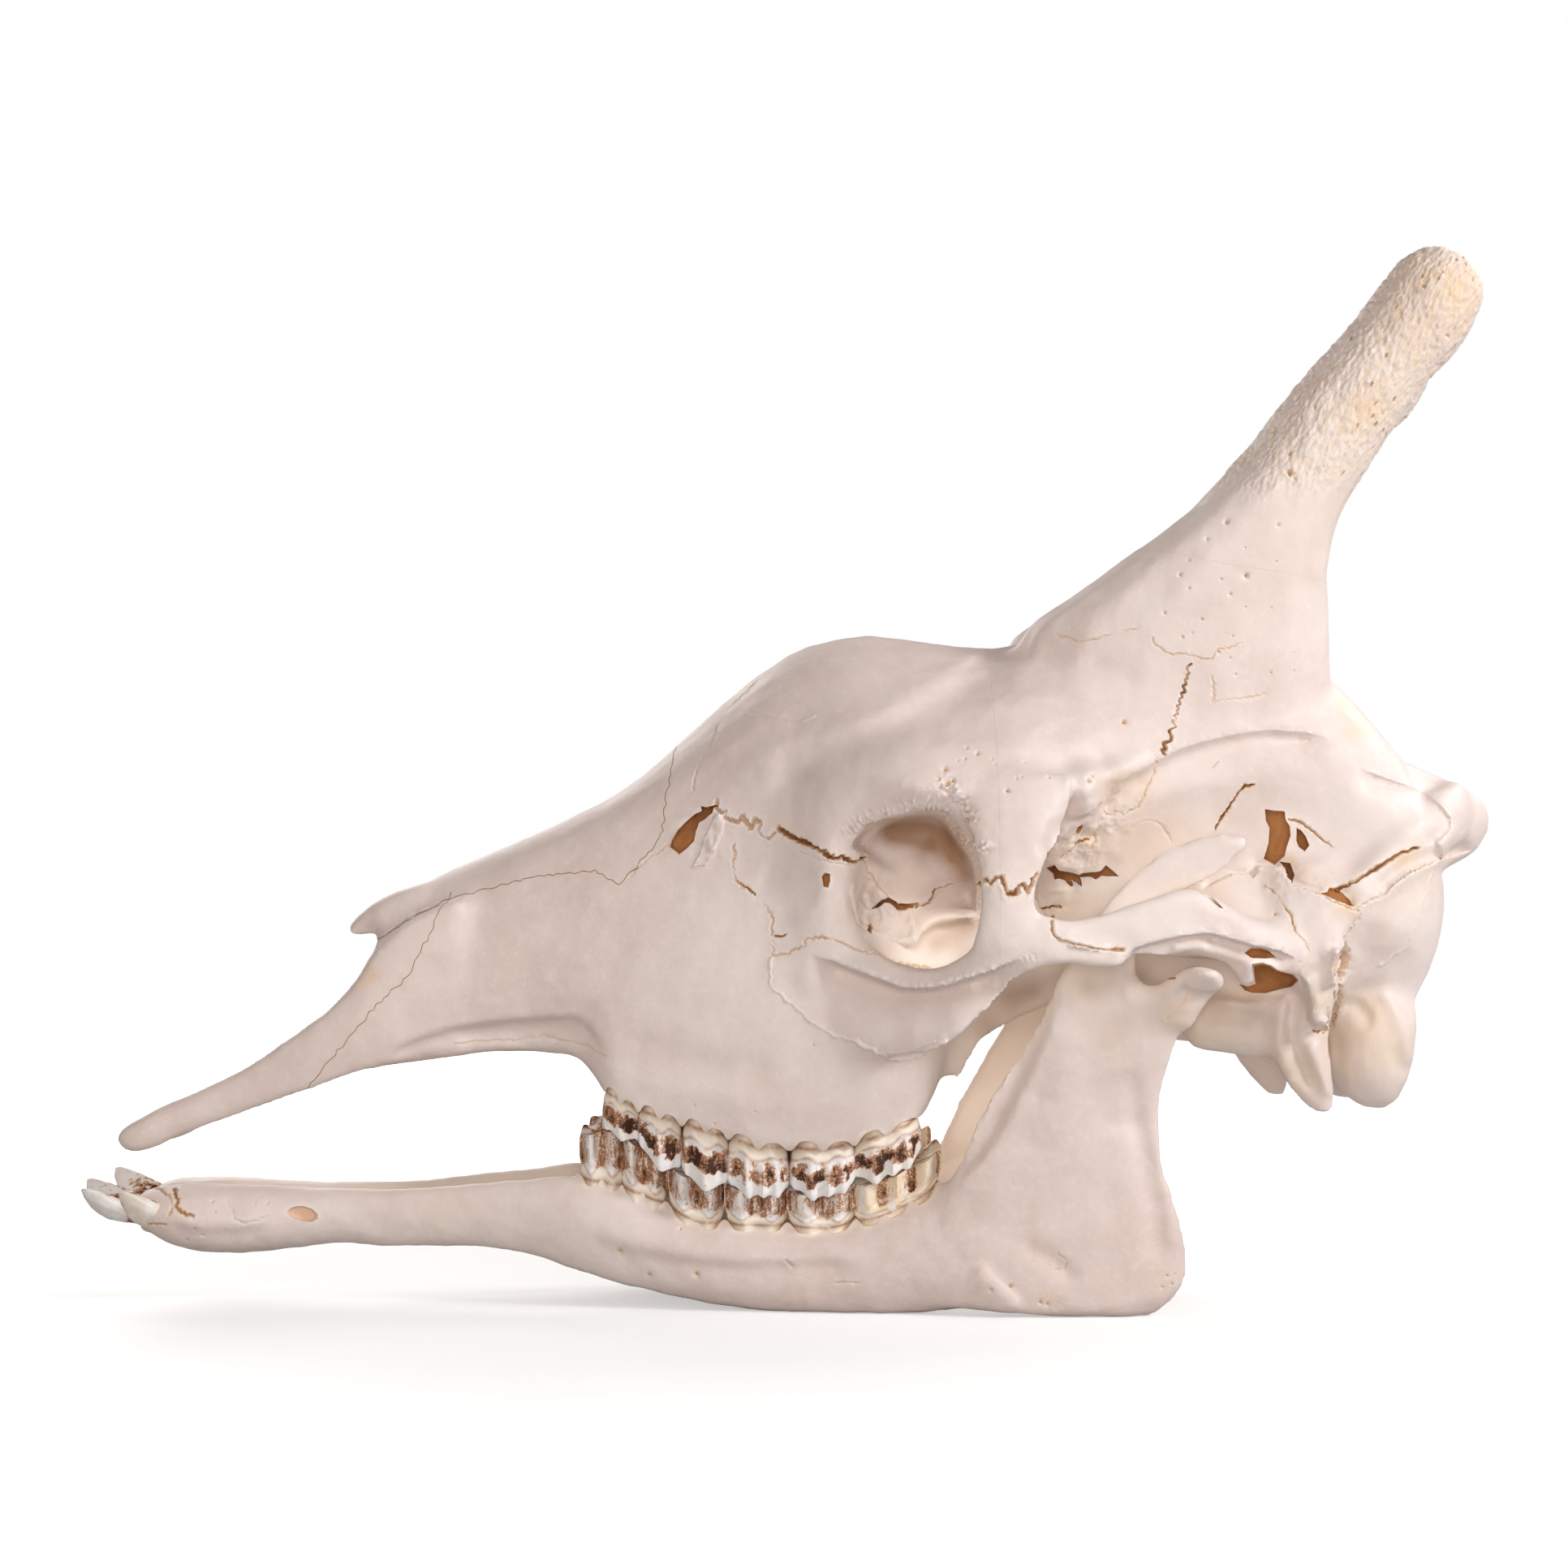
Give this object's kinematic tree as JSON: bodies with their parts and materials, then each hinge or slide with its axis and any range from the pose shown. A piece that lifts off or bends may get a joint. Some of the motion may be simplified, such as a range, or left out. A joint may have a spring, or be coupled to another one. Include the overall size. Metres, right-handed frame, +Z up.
{
  "type": "giraffe skull",
  "caption": "Life-size giraffe skull with its lower jaw closed, slender horn cores, open eye sockets and worn cheek teeth, resting on the jaw.",
  "frame": {"origin": "on the floor, under the middle of the skull's bounding box", "axes": "+X towards the nape, +Y towards the animal's right side, +Z up"},
  "size_m": [0.674, 0.224, 0.4872],
  "materials": {
    "skull_bone": "clean dry bone, cream with a pinkish shade, satin, stained orange-brown in cracks and holes",
    "horn_bone": "dry bone with fine pores and ridges, matt",
    "jaw_bone": "clean dry bone, cream, satin",
    "tooth": "glossy white enamel with brown and black stain in the hollows and creamy roots"
  },
  "bodies": {
    "root": {"cranium": "skull_bone", "nasal_bones": "skull_bone", "premaxilla_left": "skull_bone", "premaxilla_right": "skull_bone", "ossicone_left": "horn_bone", "ossicone_right": "horn_bone", "mandible_left": "jaw_bone", "mandible_right": "jaw_bone"}
  },
  "joints": []
}
